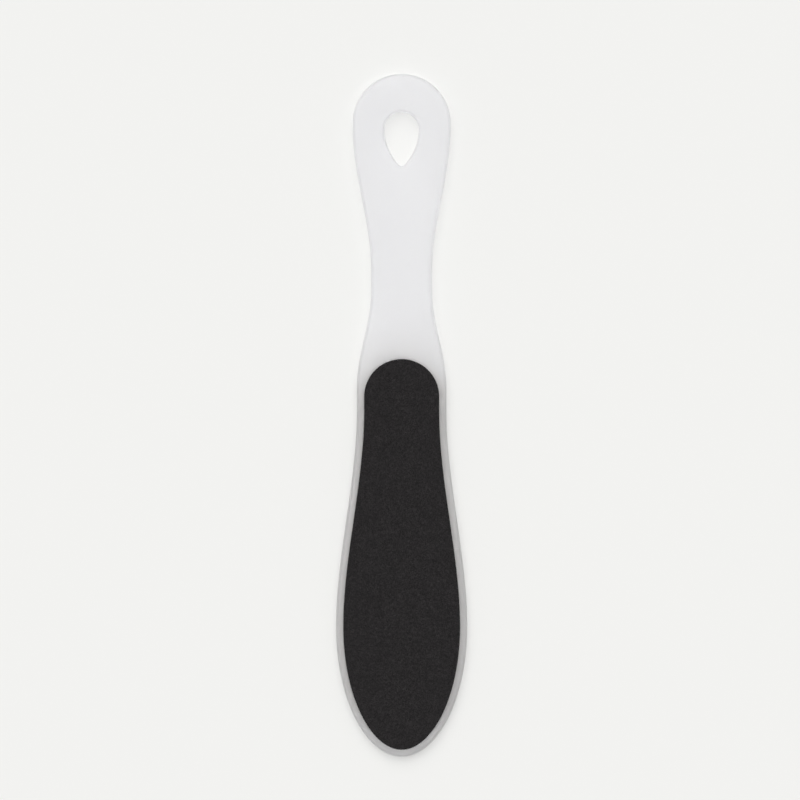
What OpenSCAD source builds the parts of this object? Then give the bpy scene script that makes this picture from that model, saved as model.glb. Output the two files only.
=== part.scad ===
// Two-sided foot file: one frosted moulded paddle with a waisted handle and a teardrop hanging
// loop, and an abrasive sheet bonded into a shallow recess in each face.
// The file lies on its fine side. +Y runs from the toe to the loop, +Z is up, lengths are in mm.

/* [Body] */
// Width of the paddle at its widest line
paddle_width = 56.6; // [50:0.2:64]
// Width of the shoulder, where the paddle runs parallel beside the head of the sheets
shoulder_width = 38.6; // [34:0.2:44]
// Width of the neck, the narrowest place of the handle
neck_width = 26.2; // [20:0.2:30]
// Width of the hanging loop, which is twice the radius of its round end
loop_width = 42.2; // [38:0.2:48]
// Length of the elliptical toe, from its tip to the widest line
toe_length = 56; // [45:0.5:75]
// Length over which the paddle narrows from the widest line to the shoulder
flare_length = 93.4; // [70:0.2:115]
// Length of the parallel shoulder
shoulder_length = 9.8; // [7:0.2:20]
// Length over which the shoulder narrows to the neck
waist_length = 41.8; // [30:0.2:65]
// Length of the parallel neck
neck_length = 8.8; // [2:0.2:20]
// Length over which the neck swells to the loop's parallel flanks
swell_length = 61.6; // [45:0.2:85]
// Length of the loop's parallel flanks, below its round end
flank_length = 2; // [0.5:0.1:8]
// Thickness of the moulding
body_thickness = 4; // [3.4:0.1:6]
// Radius of the rounded edge all round the moulding
edge_radius = 1.5; // [0.5:0.1:1.6]

/* [Hanging hole] */
// Width of the teardrop hole, which is twice the radius of its round top
hole_width = 14.8; // [12:0.2:18]
// Length of the hole, from its round top to its tip
hole_length = 23.3; // [20:0.1:27]
// Radius of the hole's tip
hole_tip_radius = 1.5; // [0.8:0.1:3]
// Distance of the hole's widest line below the loop's widest line
hole_drop = 2.8; // [0:0.1:6]
// Radius of the rounded edge round the hole
hole_edge_radius = 1.2; // [0.5:0.1:1.6]

/* [Recesses] */
// Width of the plastic rim left round each recess
rim_width = 3; // [2.2:0.1:5]
// Depth of each recess
recess_depth = 0.4; // [0.2:0.05:0.8]
// Length of the recess's parallel stretch between the narrowing paddle and its round head
recess_straight = 5.9; // [1:0.1:7]

/* [Abrasive sheets] */
// Gap between the cut edge of a sheet and the wall of its recess
sheet_clearance = 0.15; // [0.1:0.05:0.5]
// Thickness of the adhesive film under each sheet
adhesive_thickness = 0.1; // [0.05:0.01:0.2]
// Thickness of the coarse sheet's waterproof paper
coarse_paper_thickness = 0.35; // [0.25:0.01:0.6]
// Thickness of the coarse sheet's layer of resin and grit
coarse_grit_thickness = 0.45; // [0.35:0.01:0.7]
// Thickness of the fine sheet's waterproof paper
fine_paper_thickness = 0.3; // [0.25:0.01:0.6]
// Thickness of the fine sheet's layer of resin and grit
fine_grit_thickness = 0.2; // [0.15:0.01:0.5]

/* [Hidden] */

// Steps that each stretch of an outline is drawn in
toe_steps = 26;
flare_steps = 24;
waist_steps = 16;
swell_steps = 20;
loop_steps = 24;
head_steps = 22;
hole_top_steps = 14;
hole_side_steps = 8;
hole_tip_steps = 4;
// Steps that a rounded edge is drawn in
edge_steps = 5;
// How far a cutting shape reaches past the face that it cuts
overrun = 1;

frosted = [0.87, 0.89, 0.92, 0.75];
film_clear = [0.82, 0.8, 0.72];
paper_dark = [0.2, 0.19, 0.19];
grit_black = [0.08, 0.075, 0.078];
grit_charcoal = [0.13, 0.125, 0.13];

// Places along the file: the origin lies midway between the toe and the top of the loop
body_length = toe_length + flare_length + shoulder_length + waist_length + neck_length
    + swell_length + flank_length + loop_width / 2;
toe_y = -body_length / 2;
widest_y = toe_y + toe_length;
shoulder_y = widest_y + flare_length;
waist_y = shoulder_y + shoulder_length;
neck_y = waist_y + waist_length;
swell_y = neck_y + neck_length;
flank_y = swell_y + swell_length;
loop_y = flank_y + flank_length;
head_y = shoulder_y + recess_straight;
hole_y = loop_y - hole_drop;

// Levels: the fine sheet stands proud of its recess and carries the file, so the body lies above zero
fine_stack = adhesive_thickness + fine_paper_thickness + fine_grit_thickness;
body_z = max(0, fine_stack - recess_depth);
body_top_z = body_z + body_thickness;
fine_floor_z = body_z + recess_depth;
coarse_floor_z = body_top_z - recess_depth;

// The hole's side is an arc that meets the widest line square on and runs into the tip's arc
hole_radius = hole_width / 2;
tip_drop = hole_length - hole_radius - hole_tip_radius;
side_radius = (pow(hole_radius, 2) + pow(tip_drop, 2) - pow(hole_tip_radius, 2))
    / (hole_width - 2 * hole_tip_radius);
side_x = hole_radius - side_radius;
tip_angle = atan2(tip_drop, -side_x);

// A blend from 0 to 1 that starts and ends level
function ease(t) = t * t * (3 - 2 * t);

// Points of an arc round a centre, from one angle to another, with a radius for each direction
function arc(centre, radii, from, to, steps) = [
    for (i = [0 : steps])
        let (a = from + (to - from) * i / steps)
        centre + [radii[0] * cos(a), radii[1] * sin(a)]
];

// Points of a stretch that goes from one half width and place to another, level at both ends
function blend(start, end, steps) = [
    for (i = [0 : steps])
        let (t = i / steps)
        [start[0] + (end[0] - start[0]) * ease(t), start[1] + (end[1] - start[1]) * t]
];

// All points but the last
function but_last(points) = [for (i = [0 : len(points) - 2]) points[i]];

// The right half of each outline, from the end at the toe's side to the end at the loop's side
function paddle_half() = concat(
    but_last(arc([0, widest_y], [paddle_width / 2, toe_length], -90, 0, toe_steps)),
    blend([paddle_width / 2, widest_y], [shoulder_width / 2, shoulder_y], flare_steps)
);

function body_half() = concat(
    paddle_half(),
    blend([shoulder_width / 2, waist_y], [neck_width / 2, neck_y], waist_steps),
    blend([neck_width / 2, swell_y], [loop_width / 2, flank_y], swell_steps),
    arc([0, loop_y], [loop_width / 2, loop_width / 2], 0, 90, loop_steps)
);

function hole_half() = concat(
    but_last(arc([0, hole_y - tip_drop], [hole_tip_radius, hole_tip_radius], -90, -tip_angle,
        hole_tip_steps)),
    but_last(arc([side_x, hole_y], [side_radius, side_radius], -tip_angle, 0, hole_side_steps)),
    arc([0, hole_y], [hole_radius, hole_radius], 0, 90, hole_top_steps)
);

// A recess or sheet follows the paddle's edge at a margin, and has a round head at the shoulder
function face_half(margin) =
    let (
        paddle = inset(ring(body_half()), margin),
        head_radius = shoulder_width / 2 - margin
    )
    concat(
        [for (i = [0 : len(paddle_half()) - 1]) [abs(paddle[i][0]), paddle[i][1]]],
        arc([0, head_y], [head_radius, head_radius], 0, 90, head_steps)
    );

// A whole outline: a half and its mirror image, with the two end points once each
function ring(half) = concat(
    half,
    [for (i = [len(half) - 2 : -1 : 1]) [-half[i][0], half[i][1]]]
);

// An outline moved inwards by a distance, each point square to the line between its neighbours
function inset(outline, distance) =
    let (n = len(outline))
    [
        for (i = [0 : n - 1])
            let (along = outline[(i + 1) % n] - outline[(i + n - 1) % n])
            outline[i] + distance * [-along[1], along[0]] / norm(along)
    ];

// Inset and height of each ring up a rounded wall. A negative radius flares the wall outwards.
function rounded_levels(bottom, top, radius) =
    let (reach = abs(radius))
    concat(
        [for (i = [0 : edge_steps]) let (a = 90 * i / edge_steps)
            [radius * (1 - sin(a)), bottom + reach * (1 - cos(a))]],
        [for (i = [edge_steps : -1 : 0]) let (a = 90 * i / edge_steps)
            [radius * (1 - sin(a)), top - reach * (1 - cos(a))]]
    );

// A closed solid through a stack of rings. The end faces are ladders from side to side.
module lofted(half, levels) {
    outline = ring(half);
    n = len(outline);
    last = len(half) - 1;
    top = (len(levels) - 1) * n;
    points = [for (level = levels) for (p = inset(outline, level[0])) [p[0], p[1], level[1]]];
    walls = [
        for (k = [0 : len(levels) - 2])
            for (i = [0 : n - 1])
                let (a = k * n + i, b = k * n + (i + 1) % n)
                for (face = [[a, a + n, b + n], [a, b + n, b]])
                    face
    ];
    ladder = [
        for (i = [0 : last - 1])
            let (j = i + 1, left_i = (n - i) % n, left_j = n - j)
            for (face = [[i, j, left_j], [i, left_j, left_i]])
                if (face[0] != face[2] && face[1] != face[2])
                    face
    ];
    lid = [for (face = ladder) [top + face[2], top + face[1], top + face[0]]];
    polyhedron(points = points, faces = concat(ladder, walls, lid));
}

// A flat layer with the outline of a recess or sheet
module layer(margin, bottom, thickness) {
    translate([0, 0, bottom])
        linear_extrude(height = thickness)
            polygon(ring(face_half(margin)));
}

module hanging_hole() {
    levels = rounded_levels(body_z, body_top_z, -hole_edge_radius);
    lofted(hole_half(), concat(
        [[-hole_edge_radius, body_z - overrun]],
        levels,
        [[-hole_edge_radius, body_top_z + overrun]]
    ));
}

module paddle_body() {
    color(frosted)
        difference() {
            lofted(body_half(), rounded_levels(body_z, body_top_z, edge_radius));
            hanging_hole();
            layer(rim_width, coarse_floor_z, recess_depth + overrun);
            layer(rim_width, fine_floor_z - recess_depth - overrun, recess_depth + overrun);
        }
}

// The coarse sheet lies in the upper recess: adhesive film, paper, and resin with grit
module coarse_layer(bottom, thickness) {
    layer(rim_width + sheet_clearance, coarse_floor_z + bottom, thickness);
}

module coarse_adhesive() {
    color(film_clear)
        coarse_layer(0, adhesive_thickness);
}

module coarse_paper() {
    color(paper_dark)
        coarse_layer(adhesive_thickness, coarse_paper_thickness);
}

module coarse_grit() {
    color(grit_black)
        coarse_layer(adhesive_thickness + coarse_paper_thickness, coarse_grit_thickness);
}

// The fine sheet lies in the lower recess, with its layers in the same order downwards
module fine_layer(top, thickness) {
    layer(rim_width + sheet_clearance, fine_floor_z - top - thickness, thickness);
}

module fine_adhesive() {
    color(film_clear)
        fine_layer(0, adhesive_thickness);
}

module fine_paper() {
    color(paper_dark)
        fine_layer(adhesive_thickness, fine_paper_thickness);
}

module fine_grit() {
    color(grit_charcoal)
        fine_layer(adhesive_thickness + fine_paper_thickness, fine_grit_thickness);
}

paddle_body();
coarse_adhesive();
coarse_paper();
coarse_grit();
fine_adhesive();
fine_paper();
fine_grit();
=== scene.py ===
# %% [markdown]
# # A two-sided foot file
# The file is a flat paddle of frosted plastic with a black abrasive sheet glued into each face.
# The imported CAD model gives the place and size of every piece. This lesson loads it, rebuilds the
# moulding and the two grit coats as smooth surfaces, and gives every piece the finish it has in
# the hand. Everything is in metres, with +Y from the toe to the hanging loop and +Z up.

import bmesh
import bpy
import numpy as np
from mathutils.geometry import delaunay_2d_cdt
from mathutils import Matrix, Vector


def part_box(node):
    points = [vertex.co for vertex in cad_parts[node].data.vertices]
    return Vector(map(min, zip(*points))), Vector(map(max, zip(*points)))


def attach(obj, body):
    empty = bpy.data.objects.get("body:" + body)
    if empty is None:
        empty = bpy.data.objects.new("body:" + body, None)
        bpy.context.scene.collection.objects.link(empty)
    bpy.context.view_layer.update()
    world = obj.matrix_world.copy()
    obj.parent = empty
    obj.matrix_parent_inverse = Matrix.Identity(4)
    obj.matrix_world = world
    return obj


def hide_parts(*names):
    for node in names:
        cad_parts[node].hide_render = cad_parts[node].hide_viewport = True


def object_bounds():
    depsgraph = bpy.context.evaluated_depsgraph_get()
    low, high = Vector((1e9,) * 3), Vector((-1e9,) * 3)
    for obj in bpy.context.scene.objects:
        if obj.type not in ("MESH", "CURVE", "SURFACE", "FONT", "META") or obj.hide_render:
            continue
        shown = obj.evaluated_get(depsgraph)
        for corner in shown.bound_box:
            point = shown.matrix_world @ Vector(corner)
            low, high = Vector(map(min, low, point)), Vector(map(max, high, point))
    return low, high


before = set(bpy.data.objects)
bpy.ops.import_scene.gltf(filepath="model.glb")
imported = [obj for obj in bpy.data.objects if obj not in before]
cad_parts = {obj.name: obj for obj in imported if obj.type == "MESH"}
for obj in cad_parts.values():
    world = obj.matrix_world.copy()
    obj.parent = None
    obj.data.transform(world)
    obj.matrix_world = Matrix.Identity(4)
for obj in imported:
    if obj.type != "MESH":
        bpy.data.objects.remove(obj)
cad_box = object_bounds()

MM = 0.001
print("CAD box in mm:", [[round(x / MM, 2) for x in corner] for corner in cad_box])

# %% [markdown]
# ## Camera
# A flat tool is best seen from straight above, where its outline shows without foreshortening.
# A long lens far away keeps the side walls out of sight, as a product photographer would choose.
# The frame is square, so its width at the height of the upper face sets the distance.

# %% Camera straight above
FRAME_PIXELS = 800
FRAME_WIDTH = 344.56 * MM
OBJECT_CENTRE_PIXEL = (401.65, 415.3)

LENS_LENGTH = 135
SENSOR_WIDTH = 36
VIEW_LIMIT = 20

camera_data = bpy.data.cameras.new("camera")
camera_data.lens = LENS_LENGTH
camera_data.sensor_width = SENSOR_WIDTH
camera_data.clip_end = VIEW_LIMIT
camera = bpy.data.objects.new("camera", camera_data)
bpy.context.scene.collection.objects.link(camera)
pixel = FRAME_WIDTH / FRAME_PIXELS
camera_distance = FRAME_WIDTH * LENS_LENGTH / SENSOR_WIDTH
camera.location = (
    (FRAME_PIXELS / 2 - OBJECT_CENTRE_PIXEL[0]) * pixel,
    (OBJECT_CENTRE_PIXEL[1] - FRAME_PIXELS / 2) * pixel,
    cad_box[1].z + camera_distance,
)
bpy.context.scene.camera = camera
print("camera height in mm:", round(camera.location.z / MM, 1))

# %% [markdown]
# ## The outline
# The moulding and both sheets follow one outline. A traced list of points would be uneven and could
# not follow a change of size, so it is built from the same stretches that a toolmaker would draw:
# an elliptical toe, a flare, a short parallel shoulder, a waist, a swelling handle and a round end.
# Each stretch meets the next with the same direction, so light runs along the edge without a kink.

# %% Sizes of the moulding
paddle_width = 56.6 * MM
shoulder_width = 38.6 * MM
neck_width = 26.2 * MM
loop_width = 42.2 * MM
toe_length = 56 * MM
flare_length = 93.4 * MM
shoulder_length = 9.8 * MM
waist_length = 41.8 * MM
neck_length = 8.8 * MM
swell_length = 61.6 * MM
flank_length = 2 * MM
edge_radius = 1.5 * MM

body_low, body_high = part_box("paddle_body")
toe_y, top_z, under_z = body_low.y, body_high.z, body_low.z
mid_z = (top_z + under_z) / 2
widest_y = toe_y + toe_length
shoulder_y = widest_y + flare_length
waist_y = shoulder_y + shoulder_length
neck_y = waist_y + waist_length
swell_y = neck_y + neck_length
flank_y = swell_y + swell_length
loop_y = flank_y + flank_length
loop_top = loop_y + loop_width / 2
print("loop's top in mm:", round(loop_top / MM, 2), "and in the CAD:", round(body_high.y / MM, 2))


# %% The outline as a function of arc length
def ease(t):
    """A blend from 0 to 1 that starts and ends level: three t squared less two t cubed."""
    return t * t * (3 - 2 * t)


def arc(centre, radii, start, end, count):
    """Points of an ellipse's arc: the centre plus each radius times the cosine or sine."""
    a = np.radians(np.linspace(start, end, count))
    return np.column_stack([centre[0] + radii[0] * np.cos(a), centre[1] + radii[1] * np.sin(a)])


def stretch(width_a, y_a, width_b, y_b, count):
    """Points whose half width eases from one to the other while y goes evenly along."""
    t = np.linspace(0, 1, count)
    return np.column_stack([(width_a + (width_b - width_a) * ease(t)) / 2, y_a + (y_b - y_a) * t])


STRETCH_POINTS = 800
stations = [
    (paddle_width, widest_y), (shoulder_width, shoulder_y), (shoulder_width, waist_y),
    (neck_width, neck_y), (neck_width, swell_y), (loop_width, flank_y), (loop_width, loop_y),
]
chain = np.vstack([
    arc((0, widest_y), (paddle_width / 2, toe_length), -90, 0, STRETCH_POINTS)[:-1],
    *[stretch(*a, *b, STRETCH_POINTS)[:-1] for a, b in zip(stations[:-1], stations[1:])],
    arc((0, loop_y), (loop_width / 2, loop_width / 2), 0, 90, STRETCH_POINTS),
])
chain_s = np.concatenate([[0], np.cumsum(np.hypot(*np.diff(chain, axis=0).T))])
along = np.gradient(chain, chain_s, axis=0)
along[0] = (1, 0)
along[-1] = (-1, 0)
along /= np.hypot(*along.T)[:, None]
inward = np.column_stack([-along[:, 1], along[:, 0]])


def ring(s, inset):
    """The outline at arc length s, moved inwards: its own place plus inset times the unit normal."""
    place = [np.interp(s, chain_s, chain[:, k] + inset * inward[:, k]) for k in (0, 1)]
    return np.column_stack(place)


def s_where(inset, y):
    """Arc length at which the outline, moved inwards by inset, has come up to y."""
    return np.interp(y, chain[:, 1] + inset * inward[:, 1], chain_s)


print("half outline in mm:", round(chain_s[-1] / MM, 1), "points:", len(chain))

# %% [markdown]
# ## The moulding
# On the bench this is one injection-moulded piece: two flat faces, a rounded edge, a shallow
# recess in each face for a sheet, and a teardrop hole for a hook. A boolean would leave ragged
# triangles along the soft edges, so each surface is laid out as a grid instead. One quarter, the
# right half above the parting plane, is worked out and mirrored across the other two planes. The
# rounded edge is a profile of insets and heights carried along the outline, and a fine ridge at
# mid height is the parting line where the two halves of the mould met. A small lip softens the top
# of each recess, and the recess's floor lies a hair under the adhesive, so that no two faces
# coincide. A narrow flat strip, the support, runs beside every rounded edge and keeps the shading of
# the face level.

# %% The recess and the hole as families of rings
rim_width = 3 * MM
recess_depth = 0.4 * MM
recess_straight = 5.9 * MM
head_y = shoulder_y + recess_straight
lip = 0.12 * MM
glue_gap = 0.02 * MM
support = 0.3 * MM

hole_width = 14.8 * MM
hole_length = 23.3 * MM
hole_tip_radius = 1.5 * MM
hole_edge_radius = 1.2 * MM
hole_drop = 2.8 * MM
hole_y = loop_y - hole_drop
hole_radius = hole_width / 2
tip_drop = hole_length - hole_radius - hole_tip_radius
side_reach = hole_width - 2 * hole_tip_radius
side_radius = (hole_radius**2 + tip_drop**2 - hole_tip_radius**2) / side_reach
side_x = hole_radius - side_radius
tip_angle = np.degrees(np.arctan2(tip_drop, -side_x))

PADDLE_ROWS = 200
HEAD_ROWS = 40
HOLE_TIP_ROWS = 10
HOLE_SIDE_ROWS = 24
HOLE_CROWN_ROWS = 26
paddle_s = np.linspace(0, s_where(rim_width, head_y), PADDLE_ROWS)


def recess_ring(inset):
    """The recess's wall moved inwards: the outline inset by the rim, closed by a round head."""
    radius = shoulder_width / 2 - rim_width - inset
    head = arc((0, head_y), (radius, radius), 0, 90, HEAD_ROWS + 1)[1:]
    return np.vstack([ring(paddle_s, rim_width + inset), head])


def hole_ring(outset):
    """The teardrop moved outwards: a small arc at its tip, a long arc at its side, a half round."""
    tip, side, crown = hole_tip_radius + outset, side_radius + outset, hole_radius + outset
    return np.vstack([
        arc((0, hole_y - tip_drop), (tip, tip), -90, -tip_angle, HOLE_TIP_ROWS),
        arc((side_x, hole_y), (side, side), -tip_angle, 0, HOLE_SIDE_ROWS)[1:],
        arc((0, hole_y), (crown, crown), 0, 90, HOLE_CROWN_ROWS)[1:],
    ])


print("rows round the recess and the hole:", len(recess_ring(0)), len(hole_ring(0)))


# %% Rows of the quarter, each from an inner line to the outer edge
edge_in = edge_radius + support
recess_out = recess_ring(-lip - support)
hole_out = hole_ring(hole_edge_radius + support)
last_y = ring(chain_s[-1:], edge_in)[0, 1]


def centre_rows(start_y, end_y, count):
    """Evenly spaced points on the centre line, without the two ends."""
    y = np.linspace(start_y, end_y, count + 2)[1:-1]
    return np.column_stack([np.zeros(count), y])


HANDLE_ROWS = 70
CROWN_ROWS = 30
inner = np.vstack([
    recess_out,
    centre_rows(recess_out[-1, 1], hole_out[0, 1], HANDLE_ROWS),
    hole_out,
    centre_rows(hole_out[-1, 1], last_y, CROWN_ROWS),
    [[0, last_y]],
])
level_s = s_where(edge_in, inner[PADDLE_ROWS:-CROWN_ROWS - 1, 1])
crown_s = np.linspace(level_s[-1], chain_s[-1], CROWN_ROWS + 2)[1:]
outer_s = np.concatenate([paddle_s, level_s, crown_s])
print("rows:", len(inner), len(outer_s))


# %% Profiles: how far in and how high each line runs
def rounded(inset, z, radius, steps):
    """A quarter round that ends at an inset: the inset is more by the radius times one less the
    sine, and the height z is less by the radius times one less the cosine."""
    a = np.linspace(0, np.pi / 2, steps + 1)
    return np.column_stack([inset + radius * (1 - np.sin(a)), z - radius * (1 - np.cos(a))])


EDGE_STEPS = 12
HOLE_EDGE_STEPS = 10
LIP_STEPS = 4
ridge = 0.04 * MM
ridge_half = 0.05 * MM
ridge_foot = 0.15 * MM
parting = [[ridge, mid_z + ridge_foot], [0, mid_z + ridge_half], [0, mid_z]]
edge_profile = np.vstack([
    [[edge_in, top_z]],
    rounded(ridge, top_z, edge_radius - ridge, EDGE_STEPS),
    parting,
])
hole_profile = np.vstack([
    [[hole_edge_radius + support, top_z]],
    rounded(ridge, top_z, hole_edge_radius - ridge, HOLE_EDGE_STEPS),
    parting,
])
floor_z = top_z - recess_depth - glue_gap
wall_profile = np.vstack([
    [[-lip - support, top_z]],
    rounded(0, top_z, lip, LIP_STEPS) * (-1, 1),
    [[0, floor_z + lip], [lip / 3, floor_z + lip / 3], [lip, floor_z], [lip + support, floor_z]],
])
print("lines across the edge, the hole's edge and the wall:",
      [len(profile) for profile in (edge_profile, hole_profile, wall_profile)])


# %% The grids of the quarter
def carried(rings, profile):
    """A profile carried along a family of rings: one column for each inset, at its own height."""
    lines = [rings(inset) for inset, z in profile]
    raised_lines = [np.column_stack([line, np.full(len(line), z)])
                    for line, (inset, z) in zip(lines, profile)]
    return np.stack(raised_lines, axis=1)


def between(line_a, line_b, z, columns):
    """A flat grid from one line to the other: the even mix of both at each column."""
    u = np.linspace(0, 1, columns)[None, :, None]
    flat = line_a[:, None] * (1 - u) + line_b[:, None] * u
    return np.concatenate([flat, np.full(flat.shape[:2] + (1,), z)], axis=2)


FACE_COLUMNS = 7
FLOOR_COLUMNS = 9
recess_floor_line = recess_ring(lip + support)
quarter = [
    between(inner, ring(outer_s, edge_in), top_z, FACE_COLUMNS),
    carried(lambda d: ring(outer_s, d), edge_profile),
    carried(recess_ring, wall_profile),
    between(recess_floor_line, recess_floor_line * (0, 1), floor_z, FLOOR_COLUMNS),
    carried(hole_ring, hole_profile),
]
print("points of the quarter:", sum(g.shape[0] * g.shape[1] for g in quarter))


# %% From grids to one closed mesh
def grid_quads(rows, columns):
    """Corner numbers of every cell of a grid: each point, the next in its row, and the two above."""
    a = (np.arange(rows - 1)[:, None] * columns + np.arange(columns - 1)[None]).ravel()
    return np.column_stack([a, a + 1, a + columns + 1, a + columns])


def stacked(grids):
    """All points of several grids as one list, and their cells numbered to match."""
    starts = np.cumsum([0] + [g.shape[0] * g.shape[1] for g in grids[:-1]])
    points = np.vstack([g.reshape(-1, 3) for g in grids])
    return points, np.vstack([grid_quads(*g.shape[:2]) + n for g, n in zip(grids, starts)])


SAME_PLACE = 0.0005 * MM


def closed_mesh(name, points, faces):
    """Merges points that coincide, turns every face outwards, and prints what came out."""
    mesh = bpy.data.meshes.new(name)
    mesh.from_pydata(points, [], faces)
    work = bmesh.new()
    work.from_mesh(mesh)
    bmesh.ops.remove_doubles(work, verts=work.verts, dist=SAME_PLACE)
    bmesh.ops.recalc_face_normals(work, faces=work.faces)
    if work.calc_volume(signed=True) < 0:
        bmesh.ops.reverse_faces(work, faces=work.faces)
    loose = sum(not edge.is_manifold for edge in work.edges)
    volume = work.calc_volume(signed=True)
    triangles = sum(len(face.verts) - 2 for face in work.faces)
    work.to_mesh(mesh)
    work.free()
    print(f"{name}: {triangles} triangles, {loose} open edges, {volume / MM**3:.0f} cubic mm")
    return mesh


def placed(name, mesh, cad_node, smooth):
    """A piece that stands for a CAD node and rides on the file, while the CAD node is hidden."""
    if smooth:
        mesh.shade_smooth()
    else:
        mesh.shade_flat()
    piece = bpy.data.objects.new(name, mesh)
    bpy.context.scene.collection.objects.link(piece)
    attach(piece, "root")
    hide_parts(cad_node)
    return piece


# %% The moulding, mirrored from its quarter
def mirrored(grids):
    """The quarter, its mirror image across the centre line, and both across the parting plane."""
    halves = grids + [g * (-1, 1, 1) for g in grids]
    return halves + [g * (1, 1, -1) + (0, 0, 2 * mid_z) for g in halves]


moulding_mesh = closed_mesh("moulding", *stacked(mirrored(quarter)))
moulding = placed("moulding", moulding_mesh, "paddle_body", smooth=True)

# %% [markdown]
# ## Painted shade beside the sheets
# The plastic looks greyer beside the black sheets than at the loop, because the light that wanders
# inside it is swallowed there. Scattering gives part of that, and the rest is painted shade: grey
# mixed into the base colour. The material can't know where the sheets lie. A painted image could
# tell it, but would need an unwrapped surface, and a change this soft needs only a number at each
# point: an attribute on the points, which the finish reads later. About half of the painted shade
# fades over the whole reach. The rest goes with the fourth power, so it stays close to the recess.

# %% How near each point of the moulding is to a sheet
PAINTED_SHADE_REACH = 24 * MM
TOE_BEND = 20 * MM
END_LOSS = 0.3
EVEN_PAINTED_SHADE = 0.52


def nearness(mesh, reach):
    """One at the recess's wall and inside it, and outside one less the distance over the reach,
    squared, down to zero. Round the toe and the head it is less by up to the end loss, because
    less than half of the plastic around a point there lies under a sheet."""
    points = np.empty(len(mesh.vertices) * 3, dtype=np.float32)
    mesh.vertices.foreach_get("co", points)
    x, y = np.abs(points[0::3]), points[1::3]
    line = recess_ring(0)
    distance = np.full(len(x), reach)
    for line_x, line_y in line:
        np.minimum(distance, np.hypot(x - line_x, y - line_y), out=distance)
    inside = (y < line[-1, 1]) & (y > line[0, 1]) & (x < np.interp(y, line[:, 1], line[:, 0]))
    bend_y = line[0, 1] + TOE_BEND
    at_head = (y - head_y) / (line[-1, 1] - head_y)
    at_toe = (bend_y - y) / TOE_BEND
    round_end = np.clip(np.maximum(at_head, at_toe), 0, 1)
    return np.where(inside, 1, (1 - distance / reach) ** 2) * (1 - END_LOSS * ease(round_end))


near = nearness(moulding_mesh, PAINTED_SHADE_REACH)
# Painted shade: the share of grey that the base colour takes at each point near the sheets.
shares = EVEN_PAINTED_SHADE * near + (1 - EVEN_PAINTED_SHADE) * near**4
painted_sheet_shade = moulding_mesh.attributes.new("painted_sheet_shade", "FLOAT", "POINT")
painted_sheet_shade.data.foreach_set("value", shares.astype(np.float32))
print("points within reach of a sheet:", int((near > 0).sum()))

# %% [markdown]
# ## The grit coats
# Each sheet is waterproof paper with a coat of resin that holds crushed silicon carbide. Seen
# close, the coat is a crowd of sharp little tents, taller on the coarse side. A bump map alone
# would leave the face flat and its edge perfectly straight, so the grains are modelled. The points
# lie on a triangular lattice and each is nudged: every third one is the tip of a grain and the two
# between are valleys, so that a grain has six unequal facets. A constrained triangulation then
# joins the lattice to the exact line of the cut edge.

# %% The cut edge of a sheet
COARSE_STEP = 0.32 * MM
FINE_STEP = 0.3 * MM
sheet_clearance = 0.15 * MM


def cut_edge(step):
    """The edge as one loop: even steps of arc length up the right half, then its mirror image."""
    line = recess_ring(sheet_clearance)
    s = np.concatenate([[0], np.cumsum(np.hypot(*np.diff(line, axis=0).T))])
    even = np.linspace(0, s[-1], int(s[-1] / step))
    right = np.column_stack([np.interp(even, s, line[:, k]) for k in (0, 1)])
    right[[0, -1], 0] = 0
    return np.vstack([right, right[-2:0:-1] * (-1, 1)])


print("points of the cut edges:", len(cut_edge(COARSE_STEP)), len(cut_edge(FINE_STEP)))


# %% A lattice of tips and valleys
NUDGE_SHARE = 0.38


def lattice(step, margin, rng):
    """Points inside the cut edge less a margin. Row i lies at i times the root of three quarters of
    the step, and odd rows start half a step in. The kind, 0, 1 or 2, is the column less half the row
    less the row, modulo three, so that no two neighbours are of one kind. Each point is nudged."""
    line = recess_ring(sheet_clearance + margin)
    row_step = step * np.sqrt(0.75)
    half_count = int(line[:, 0].max() / step) + 1
    row_count = int((line[-1, 1] - line[0, 1]) / row_step)
    i, j = np.meshgrid(np.arange(row_count), np.arange(-half_count, half_count + 1), indexing="ij")
    kind = (j - i // 2 - i) % 3
    nudge = rng.uniform(-NUDGE_SHARE, NUDGE_SHARE, (2,) + i.shape) * step
    x = (j + 0.5 * (i % 2)) * step + nudge[0]
    y = line[0, 1] + (i + 0.5) * row_step + nudge[1]
    inside = np.abs(x) < np.interp(y, line[:, 1], line[:, 0])
    return np.column_stack([x[inside], y[inside]]), kind[inside]


# %% A grit coat as one closed skin
TIP_HEIGHTS = (0.5, 1)
VALLEY_HEIGHTS = (0, 0.3)
LOST_GRAINS = 1 / 9
EDGE_WAVE = 0.25
EDGE_MARGIN = 0.6
JOIN_TOLERANCE = 1e-7


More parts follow.
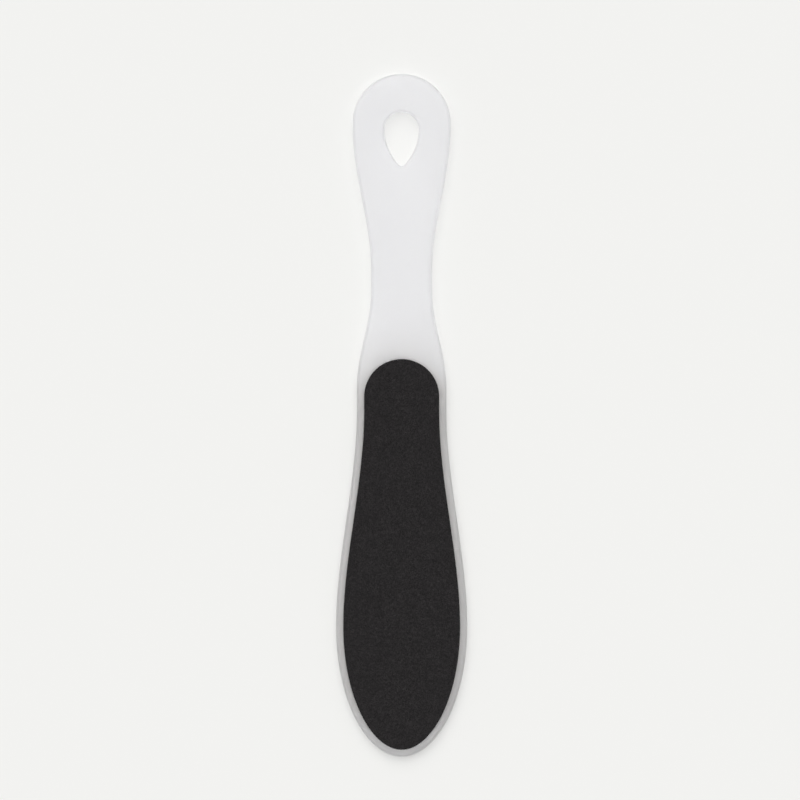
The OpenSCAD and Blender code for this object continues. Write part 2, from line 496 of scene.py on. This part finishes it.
def grit_coat(name, cad_node, step, bond_share, facing, seed):
    """The height is the bond's share of the coat, plus a random share of the rest: a large one at a
    tip and a small one at a valley. One tip in nine is a lost grain, which is as low as a valley. At
    the cut edge only the bond is left, and a wall drops from it to a flat base on the paper."""
    rng = np.random.default_rng(seed)
    low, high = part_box(cad_node)
    thick = high.z - low.z
    edge = cut_edge(step)
    inner, kind = lattice(step, EDGE_MARGIN * step, rng)
    tip = (kind == 0) & (rng.uniform(0, 1, kind.shape) > LOST_GRAINS)
    high_share = rng.uniform(*TIP_HEIGHTS, kind.shape)
    low_share = rng.uniform(*VALLEY_HEIGHTS, kind.shape)
    grain = np.where(tip, high_share, low_share)
    wave = rng.uniform(-EDGE_WAVE, EDGE_WAVE, len(edge))
    height = np.concatenate([bond_share * (1 + wave), bond_share + (1 - bond_share) * grain]) * thick
    base = low.z if facing > 0 else high.z
    top = np.column_stack([np.vstack([edge, inner]), base + facing * height])
    under = np.column_stack([edge, np.full(len(edge), base)])

    k = np.arange(len(edge))
    following = (k + 1) % len(edge)
    in_mm = (top[:, :2] / MM).tolist()
    cut_line = np.column_stack([k, following]).tolist()
    skin = delaunay_2d_cdt(in_mm, cut_line, [], 1, JOIN_TOLERANCE)[2]
    below = len(top)
    wall = np.column_stack([k, following, below + following, below + k])
    mate = -k % len(edge)
    half = len(edge) // 2
    right_base = np.column_stack([k, k + 1, mate[following]])[:half - 1] + below
    left_base = np.column_stack([k, mate[following], mate])[1:half] + below
    faces = [*skin, *wall.tolist(), *right_base.tolist(), *left_base.tolist()]
    mesh = closed_mesh(name, np.vstack([top, under]), faces)
    print(name, "grains:", int(tip.sum()), "tallest in mm:", round(height.max() / MM, 3))
    return placed(name, mesh, cad_node, smooth=False)


# %% The coarse coat on top and the fine coat below
coarse = grit_coat("coarse_grit_coat", "coarse_grit", COARSE_STEP,
                   bond_share=0.3, facing=1, seed=7)
fine = grit_coat("fine_grit_coat", "fine_grit", FINE_STEP,
                 bond_share=0.45, facing=-1, seed=11)

# %% [markdown]
# ## Shared effects
# Four effects come back in several finishes: grains, soft mottling, fine scratches and small
# specks. Each is a node group with named sockets, built once, and every material places it with
# its own sizes. The groups only put out masks and heights; the shader itself stays in the
# material. All of them read Object coordinates, which are metres on this piece, so that a size is
# a real size and the pattern stays on the surface.

# %% Helpers for node trees
def node(tree, kind, inputs=None, **settings):
    """Adds a node: settings are its properties, and an input takes a value or another socket."""
    made = tree.nodes.new("ShaderNode" + kind)
    for name, value in settings.items():
        setattr(made, name, value)
    for name, value in (inputs or {}).items():
        if isinstance(value, bpy.types.NodeSocket):
            tree.links.new(value, made.inputs[name])
        else:
            made.inputs[name].default_value = value
    return made


def maths(tree, operation, a, b=0.5, clamp=False):
    """The result of one sum of two values, each a number or a socket."""
    return node(tree, "Math", {0: a, 1: b}, operation=operation, use_clamp=clamp).outputs[0]


def ranged(tree, value, start, end, low=0.0, high=1.0, smooth=False):
    """The value carried from start and end to low and high, evenly or with soft ends."""
    kind = "SMOOTHSTEP" if smooth else "LINEAR"
    inputs = {"Value": value, "From Min": start, "From Max": end, "To Min": low, "To Max": high}
    return node(tree, "MapRange", inputs, interpolation_type=kind).outputs["Result"]


def effect(name, inputs, outputs):
    """An empty node group with named inputs, given as name, kind and start value, and outputs."""
    tree = bpy.data.node_groups.new(name, "ShaderNodeTree")
    for label, kind, value in inputs:
        socket = tree.interface.new_socket(label, in_out="INPUT", socket_type="NodeSocket" + kind)
        if value is not None:
            socket.default_value = value
    for label in outputs:
        tree.interface.new_socket(label, in_out="OUTPUT", socket_type="NodeSocketFloat")
    start = tree.nodes.new("NodeGroupInput")
    end = tree.nodes.new("NodeGroupOutput")
    return tree, start.outputs, end.inputs


# %% Grains: cells of random shade, each a small hump
grains, given, result = effect(
    "grains", [("Vector", "Vector", None), ("Pitch", "Float", 0.2 * MM)], ["Shade", "Hump"])
per_metre = maths(grains, "DIVIDE", 1.0, given["Pitch"])
cells = node(grains, "TexVoronoi", {"Vector": given["Vector"], "Scale": per_metre})
split = node(grains, "SeparateColor", {"Color": cells.outputs["Color"]})
grains.links.new(split.outputs["Red"], result["Shade"])
grains.links.new(maths(grains, "SUBTRACT", 1.0, cells.outputs["Distance"]), result["Hump"])
print("nodes in grains:", len(grains.nodes))

# %% Mottle: soft blotches, drawn out along the file where the melt ran
mottle, given, result = effect(
    "mottle",
    [("Vector", "Vector", None), ("Size", "Float", 10 * MM), ("Length share", "Float", 1.0),
     ("Contrast", "Float", 1.0)],
    ["Value"])
narrowed = maths(mottle, "DIVIDE", 1.0, given["Length share"])
stretch_by = node(mottle, "CombineXYZ", {"X": 1.0, "Y": narrowed, "Z": 1.0}).outputs["Vector"]
drawn = node(mottle, "VectorMath", {0: given["Vector"], 1: stretch_by}, operation="MULTIPLY")
per_metre = maths(mottle, "DIVIDE", 1.0, given["Size"])
cloud = node(mottle, "TexNoise", {"Vector": drawn.outputs["Vector"], "Scale": per_metre, "Detail": 3.0})
centred = maths(mottle, "SUBTRACT", cloud.outputs["Fac"], 0.5)
spread = maths(mottle, "MULTIPLY", centred, given["Contrast"])
mottle.links.new(maths(mottle, "ADD", spread, 0.5, clamp=True), result["Value"])
print("nodes in mottle:", len(mottle.nodes))

# %% Scratches: thin level lines of a noise that is drawn out in three directions
scratches, given, result = effect(
    "scratches",
    [("Vector", "Vector", None), ("Length", "Float", 30 * MM), ("Gap", "Float", 3 * MM),
     ("Fineness", "Float", 0.02)],
    ["Mask"])
TURNS_AND_SEEDS = ((12, 0.0), (-38, 3.7), (71, 8.1))
BREAKS_PER_METRE = 60.0
BREAK_RANGE = (0.5, 0.65)
lines = None
for turn, seed in TURNS_AND_SEEDS:
    turned = node(scratches, "VectorRotate",
                  {"Vector": given["Vector"], "Angle": np.radians(turn)}, rotation_type="Z_AXIS")
    sizes = node(scratches, "CombineXYZ", {"X": given["Gap"], "Y": given["Length"], "Z": given["Gap"]})
    shrunk = node(scratches, "VectorMath",
                  {0: turned.outputs["Vector"], 1: sizes.outputs["Vector"]}, operation="DIVIDE")
    field = node(scratches, "TexNoise", {"Vector": shrunk.outputs["Vector"], "W": seed, "Scale": 1.0,
                                         "Detail": 0.0}, noise_dimensions="4D")
    off = maths(scratches, "ABSOLUTE", maths(scratches, "SUBTRACT", field.outputs["Fac"], 0.5))
    line = ranged(scratches, off, 0.0, given["Fineness"], 1.0, 0.0)
    lines = line if lines is None else maths(scratches, "MAXIMUM", lines, line)
breaks = node(scratches, "TexNoise",
              {"Vector": given["Vector"], "Scale": BREAKS_PER_METRE, "Detail": 1.0})
kept = ranged(scratches, breaks.outputs["Fac"], *BREAK_RANGE)
scratches.links.new(maths(scratches, "MULTIPLY", lines, kept), result["Mask"])
print("nodes in scratches:", len(scratches.nodes))

# %% Specks: a share of the cells of a wide lattice holds one small dot
specks, given, result = effect(
    "specks",
    [("Vector", "Vector", None), ("Gap", "Float", 6 * MM), ("Size", "Float", 0.2 * MM),
     ("Share", "Float", 0.3)],
    ["Mask"])
per_metre = maths(specks, "DIVIDE", 1.0, given["Gap"])
dots = node(specks, "TexVoronoi", {"Vector": given["Vector"], "Scale": per_metre})
SOLID_CORE = 0.3
reach = maths(specks, "DIVIDE", given["Size"], given["Gap"])
core = maths(specks, "MULTIPLY", reach, SOLID_CORE)
dot = ranged(specks, dots.outputs["Distance"], core, reach, 1.0, 0.0)
split = node(specks, "SeparateColor", {"Color": dots.outputs["Color"]})
chosen = maths(specks, "LESS_THAN", split.outputs["Red"], given["Share"])
specks.links.new(maths(specks, "MULTIPLY", dot, chosen), result["Mask"])
print("effects:", [group.name for group in (grains, mottle, scratches, specks)])

# %% Where every finish starts
def finish(name, values):
    """A material with a Principled shader, whose uniform values are set on its own sockets, and
    the piece's Object coordinates."""
    material = bpy.data.materials.new(name)
    material.use_nodes = True
    tree = material.node_tree
    tree.nodes.clear()
    shader = node(tree, "BsdfPrincipled", values)
    out = node(tree, "OutputMaterial", {"Surface": shader.outputs["BSDF"]})
    place = node(tree, "TexCoord").outputs["Object"]
    return material, tree, shader, out, place


def blended(tree, share, colour_a, colour_b):
    """The mix of two colours by a share that changes over the surface."""
    mix = node(tree, "Mix", {0: share}, data_type="RGBA")
    for socket, colour in ((mix.inputs[6], colour_a), (mix.inputs[7], colour_b)):
        if isinstance(colour, bpy.types.NodeSocket):
            tree.links.new(colour, socket)
        else:
            socket.default_value = (*colour, 1)
    return mix.outputs[2]


def raised(tree, height, distance, strength, below=None):
    """A normal tilted by a height, on top of another bump where one is given."""
    inputs = {"Height": height, "Distance": distance, "Strength": strength}
    if below is not None:
        inputs["Normal"] = below
    return node(tree, "Bump", inputs).outputs["Normal"]


# %% [markdown]
# ## Frosted plastic
# The moulding is a milky polymer: light goes in, wanders for about two centimetres and comes out
# elsewhere, and part of it goes right through to whatever lies behind. Wax would hide what is
# behind it and ground glass would show it, and this plastic lies between them, so the shader shares
# its light between random walk scattering and rough transmission. Lamps could not reach the surface
# under the file through such a shader, which is why rays towards a lamp meet a plain transparent
# shader. It lets half of the light pass, and most of it at the rounded edge, where there is less
# plastic to cross. The black sheets swallow the light that wanders under them, so the rim beside
# them is greyer than the handle. Scattering gives much of that by itself, and painted shade, a grey
# in the base colour that fades away from the recess, stored on the points above, adds the rest.
# The skin itself is the satin of a spark-eroded mould: shallow pits, faint haze where the melt ran,
# edges that hands have polished a little, which makes them glossier, with a painted highlight, a
# lighter base colour, along them, fine scratches and a few dark specks in the melt.

# %% The satin skin
plastic, tree, shader, out, place = finish("satin_frosted_plastic", {
    "IOR": 1.49,
    "Transmission Weight": 0.62,
    "Subsurface Weight": 1.0,
    "Subsurface Radius": (1.0, 1.0, 1.0),
    "Subsurface Scale": 20 * MM,
})
haze = node(tree, "Group", {"Vector": place, "Size": 22 * MM, "Length share": 3.5, "Contrast": 1.6},
            node_tree=mottle).outputs["Value"]
fine_haze = node(tree, "Group", {"Vector": place, "Size": 1.4 * MM, "Contrast": 1.2},
                 node_tree=mottle).outputs["Value"]
pits = node(tree, "Group", {"Vector": place, "Pitch": 0.22 * MM}, node_tree=grains).outputs["Hump"]
marks = node(tree, "Group", {"Vector": place, "Length": 34 * MM, "Gap": 2.6 * MM, "Fineness": 0.012},
             node_tree=scratches).outputs["Mask"]
flecks = node(tree, "Group", {"Vector": place, "Gap": 9 * MM, "Size": 0.16 * MM, "Share": 0.25},
              node_tree=specks).outputs["Mask"]
print("nodes for the patterns of the plastic:", len(tree.nodes))

# %% The rounded edges, found by their height
height_here = node(tree, "SeparateXYZ", {"Vector": place}).outputs["Z"]
from_middle = maths(tree, "ABSOLUTE", maths(tree, "SUBTRACT", height_here, mid_z))
half_thick = (top_z - under_z) / 2
EDGE_STARTS = 0.05 * MM
EDGE_FULL = 0.7 * MM
edge = ranged(tree, from_middle, half_thick - EDGE_STARTS, half_thick - EDGE_FULL, smooth=True)
print("half of the moulding's thickness in mm:", round(half_thick / MM, 2))

# %% Colour of the skin
CLOUDY_MILK = (0.873, 0.87, 0.888)
CLEAR_MILK = (0.898, 0.895, 0.909)
PAINTED_EDGE_HIGHLIGHT = (0.94, 0.94, 0.955)
PAINTED_SHEET_SHADE = (0.70, 0.683, 0.677)
DARK_FLECK = (0.35, 0.33, 0.3)
EDGE_HIGHLIGHT_SHARE = 0.5
milky = blended(tree, haze, CLOUDY_MILK, CLEAR_MILK)
# Painted highlight: the rounded edges get a lighter base colour, mixed in by the edge mask.
edge_highlighted = blended(tree, maths(tree, "MULTIPLY", edge, EDGE_HIGHLIGHT_SHARE), milky, PAINTED_EDGE_HIGHLIGHT)
# Painted shade: grey mixed into the base colour by the share stored near the sheets.
sheet_shade_share = node(tree, "Attribute", attribute_name="painted_sheet_shade").outputs["Fac"]
sheet_shaded = blended(tree, sheet_shade_share, edge_highlighted, PAINTED_SHEET_SHADE)
specked = blended(tree, flecks, sheet_shaded, DARK_FLECK)
tree.links.new(specked, shader.inputs["Base Color"])
print("plastic nodes with the colour:", len(tree.nodes))

# %% Gloss of the skin
SATIN = (0.40, 0.46)
FINE_CHANGE = 0.03
EDGE_POLISH = 0.08
SCRATCH_DULLNESS = 0.15
rough = ranged(tree, haze, 0.0, 1.0, *SATIN)
rough = maths(tree, "ADD", rough, ranged(tree, fine_haze, 0.0, 1.0, -FINE_CHANGE, FINE_CHANGE))
rough = maths(tree, "SUBTRACT", rough, maths(tree, "MULTIPLY", edge, EDGE_POLISH))
rough = maths(tree, "ADD", rough, maths(tree, "MULTIPLY", marks, SCRATCH_DULLNESS), clamp=True)
tree.links.new(rough, shader.inputs["Roughness"])
print("plastic nodes with the gloss:", len(tree.nodes))

# %% Relief of the skin
PIT_DEPTH = 0.02 * MM
PIT_STRENGTH = 0.35
SCRATCH_DEPTH = 0.01 * MM
SCRATCH_STRENGTH = 0.6
skin = raised(tree, pits, PIT_DEPTH, PIT_STRENGTH)
skin = raised(tree, maths(tree, "SUBTRACT", 1.0, marks), SCRATCH_DEPTH, SCRATCH_STRENGTH, below=skin)
tree.links.new(skin, shader.inputs["Normal"])
print("plastic nodes with the relief:", len(tree.nodes))

# %% Let lamp light through
THROUGH_FACE = (0.5, 0.505, 0.512)
THROUGH_EDGE = (0.85, 0.852, 0.856)
towards_lamp = node(tree, "LightPath").outputs["Is Shadow Ray"]
through = blended(tree, edge, THROUGH_FACE, THROUGH_EDGE)
passing = node(tree, "BsdfTransparent", {"Color": through})
both = node(tree, "MixShader", {0: towards_lamp, 1: shader.outputs["BSDF"], 2: passing.outputs["BSDF"]})
tree.links.new(both.outputs["Shader"], out.inputs["Surface"])
moulding.data.materials.append(plastic)
print("plastic nodes in all:", len(tree.nodes))

# %% [markdown]
# ## Grit
# Crushed silicon carbide is black, and each grain has flat, slightly shiny breaks in every
# direction, set in dark resin. Most facets look dull from here and a few catch the light. A
# photographed texture would go soft close up, so the shade and the gloss change from cell to cell of
# a pattern as fine as the grains, and the resin between them is a little blotchy where the coat ran
# thicker. The fine coat is the same recipe with smaller grains.

# %% One recipe for both coats
DUST = (0.12, 0.115, 0.11)
DUST_SHARE = 0.5
CHIP_SHARE = 0.45
PALE_SHARE = 0.8
DULL_GRAINS = (0.88, 0.68)
GLINT_GLOSS = 0.45
RESIN_LEAST = 0.5
CHIP_HEIGHT_SHARE = 0.5
CHIP_STRENGTH = 0.5
GRAIN_STRENGTH = 0.6


def grit(name, pitch, dark, pale, relief, glint_share):
    """Black grains in resin: shade by cell, blotches of resin, and a share of glinting facets."""
    material, tree, shader, out, place = finish(name, {"Specular IOR Level": 0.25})
    cell = node(tree, "Group", {"Vector": place, "Pitch": pitch}, node_tree=grains).outputs
    chips = node(tree, "Group", {"Vector": place, "Pitch": pitch * CHIP_SHARE},
                 node_tree=grains).outputs
    resin = node(tree, "Group", {"Vector": place, "Size": 6 * MM, "Contrast": 1.4},
                 node_tree=mottle).outputs["Value"]
    pale_dust = node(tree, "Group", {"Vector": place, "Gap": 4 * MM, "Size": 0.22 * MM, "Share": 0.3},
                     node_tree=specks).outputs["Mask"]
    shade = maths(tree, "MULTIPLY", cell["Shade"], maths(tree, "ADD", resin, RESIN_LEAST))
    body = blended(tree, maths(tree, "MULTIPLY", shade, PALE_SHARE, clamp=True), dark, pale)
    dusted = blended(tree, maths(tree, "MULTIPLY", pale_dust, DUST_SHARE), body, DUST)
    tree.links.new(dusted, shader.inputs["Base Color"])
    glint = maths(tree, "GREATER_THAN", chips["Shade"], 1 - glint_share)
    dull = ranged(tree, cell["Shade"], 0.0, 1.0, *DULL_GRAINS)
    rough = maths(tree, "SUBTRACT", dull, maths(tree, "MULTIPLY", glint, GLINT_GLOSS))
    tree.links.new(rough, shader.inputs["Roughness"])
    facets = raised(tree, chips["Hump"], relief * CHIP_HEIGHT_SHARE, CHIP_STRENGTH)
    facets = raised(tree, cell["Hump"], relief, GRAIN_STRENGTH, below=facets)
    tree.links.new(facets, shader.inputs["Normal"])
    return material


# %% Coarse and fine grit
coarse.data.materials.append(grit(
    "coarse_carbide_grit", pitch=0.42 * MM, relief=0.06 * MM, glint_share=0.06,
    dark=(0.007, 0.0062, 0.0066), pale=(0.0205, 0.018, 0.019)))
fine.data.materials.append(grit(
    "fine_carbide_grit", pitch=0.2 * MM, relief=0.03 * MM, glint_share=0.03,
    dark=(0.0095, 0.0088, 0.0092), pale=(0.0225, 0.0205, 0.0213)))
print("grit materials:", coarse.data.materials[0].name, fine.data.materials[0].name)

# %% [markdown]
# ## Backing paper and adhesive
# Between the grit and the plastic lie the two layers that hold it: heavy paper soaked with latex,
# nearly black, whose fibres show where the sheet was cut, and a film of clear amber adhesive with
# a few trapped bubbles. Both keep their CAD solids, because their shape is right, and get a
# material of their own.

# %% Latex-soaked paper
paper, tree, shader, out, place = finish("latex_paper", {"Specular IOR Level": 0.3})
fibres = node(tree, "Group", {"Vector": place, "Length": 3 * MM, "Gap": 0.25 * MM, "Fineness": 0.08},
              node_tree=scratches).outputs["Mask"]
clouds = node(tree, "Group", {"Vector": place, "Size": 4 * MM, "Contrast": 1.5},
              node_tree=mottle).outputs["Value"]
SOAKED_DARK = (0.022, 0.02, 0.018)
SOAKED_PALE = (0.04, 0.037, 0.033)
BARE_FIBRE = (0.14, 0.13, 0.11)
FIBRE_SHARE = 0.4
FIBRE_HEIGHT = 0.03 * MM
FIBRE_STRENGTH = 0.5
PAPER_ROUGHNESS = (0.78, 0.92)
soaked = blended(tree, clouds, SOAKED_DARK, SOAKED_PALE)
frayed = blended(tree, maths(tree, "MULTIPLY", fibres, FIBRE_SHARE), soaked, BARE_FIBRE)
tree.links.new(frayed, shader.inputs["Base Color"])
tree.links.new(ranged(tree, clouds, 0.0, 1.0, *PAPER_ROUGHNESS), shader.inputs["Roughness"])
tree.links.new(raised(tree, fibres, FIBRE_HEIGHT, FIBRE_STRENGTH), shader.inputs["Normal"])
print("paper nodes:", len(tree.nodes))

# %% Adhesive film
film, tree, shader, out, place = finish("clear_adhesive", {"IOR": 1.47, "Transmission Weight": 0.85})
bubbles = node(tree, "Group", {"Vector": place, "Gap": 2.2 * MM, "Size": 0.5 * MM, "Share": 0.5},
               node_tree=specks).outputs["Mask"]
drag = node(tree, "Group", {"Vector": place, "Size": 2.5 * MM, "Length share": 6.0, "Contrast": 1.5},
            node_tree=mottle).outputs["Value"]
THICK_AMBER = (0.78, 0.7, 0.5)
THIN_AMBER = (0.88, 0.82, 0.66)
BUBBLE = (0.93, 0.91, 0.85)
BUBBLE_HEIGHT = 0.03 * MM
BUBBLE_STRENGTH = 0.6
FILM_ROUGHNESS = (0.2, 0.38)
amber = blended(tree, drag, THICK_AMBER, THIN_AMBER)
tree.links.new(blended(tree, bubbles, amber, BUBBLE), shader.inputs["Base Color"])
tree.links.new(ranged(tree, drag, 0.0, 1.0, *FILM_ROUGHNESS), shader.inputs["Roughness"])
tree.links.new(raised(tree, bubbles, BUBBLE_HEIGHT, BUBBLE_STRENGTH), shader.inputs["Normal"])
print("adhesive nodes:", len(tree.nodes))


# %% Dress the CAD nodes that stay
def dress(names, material):
    """Gives one material to every face of the named CAD nodes."""
    for name in names:
        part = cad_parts[name].data
        part.materials.clear()
        part.materials.append(material)


dress(["coarse_paper", "fine_paper"], paper)
dress(["coarse_adhesive", "fine_adhesive"], film)
print("dressed:", [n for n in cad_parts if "paper" in n or "adhesive" in n])

# %% [markdown]
# ## Floor and light
# The file lies on a plain pale surface, in a room that is bright all round, under one broad soft
# lamp that stands high beyond the loop and a little to the left. It is a sun lamp with a wide angle,
# because an area lamp would fade from one end of the file to the other. The two together light a
# level surface so that a colour comes out about as it is written. Seen directly, in a reflection or
# through the plastic, the room has the same pale tone as the floor, so that the horizon of a low
# view does not show.

# %% Pale floor
PALE = (0.888, 0.888, 0.871, 1)
HALF_FLOOR = 3.0
corners = [(x * HALF_FLOOR, y * HALF_FLOOR, 0) for x, y in ((-1, -1), (1, -1), (1, 1), (-1, 1))]
floor_mesh = bpy.data.meshes.new("floor")
floor_mesh.from_pydata(corners, [], [(0, 1, 2, 3)])
floor = bpy.data.objects.new("floor", floor_mesh)
bpy.context.scene.collection.objects.link(floor)
floor_values = {"Base Color": PALE, "Roughness": 0.9, "Specular IOR Level": 0.2}
floor_mesh.materials.append(finish("pale_floor", floor_values)[0])
print("side of the floor in metres:", 2 * HALF_FLOOR)

# %% Bright room
ROOM_LEVEL = 0.41
room = bpy.data.worlds.new("room")
bpy.context.scene.world = room
room.use_nodes = True
tree = room.node_tree
tree.nodes.clear()
light = node(tree, "Background", {"Color": (1, 1, 1, 1), "Strength": ROOM_LEVEL})
seen = node(tree, "Background", {"Color": PALE, "Strength": 1.0})
path = node(tree, "LightPath").outputs
direct = maths(tree, "MAXIMUM", path["Is Camera Ray"], path["Is Glossy Ray"])
direct = maths(tree, "MAXIMUM", direct, path["Is Transmission Ray"])
view = node(tree, "MixShader", {0: direct, 1: light.outputs[0], 2: seen.outputs[0]})
node(tree, "OutputWorld", {"Surface": view.outputs["Shader"]})
print("room nodes:", len(tree.nodes))

# %% Broad soft lamp
LAMP_LEVEL = 0.59
LAMP_HEIGHT = np.radians(60)
LAMP_TURN = np.radians(100)
LAMP_SPREAD = np.radians(76)
lamp_data = bpy.data.lights.new("broad_lamp", "SUN")
lamp_data.angle = LAMP_SPREAD
lamp_data.energy = LAMP_LEVEL * np.pi / np.sin(LAMP_HEIGHT)
lamp = bpy.data.objects.new("broad_lamp", lamp_data)
bpy.context.scene.collection.objects.link(lamp)
lamp.rotation_euler = (0, np.pi / 2 - LAMP_HEIGHT, LAMP_TURN)
bpy.context.scene.view_settings.view_transform = "Standard"
print("light on a level surface:", ROOM_LEVEL + LAMP_LEVEL)
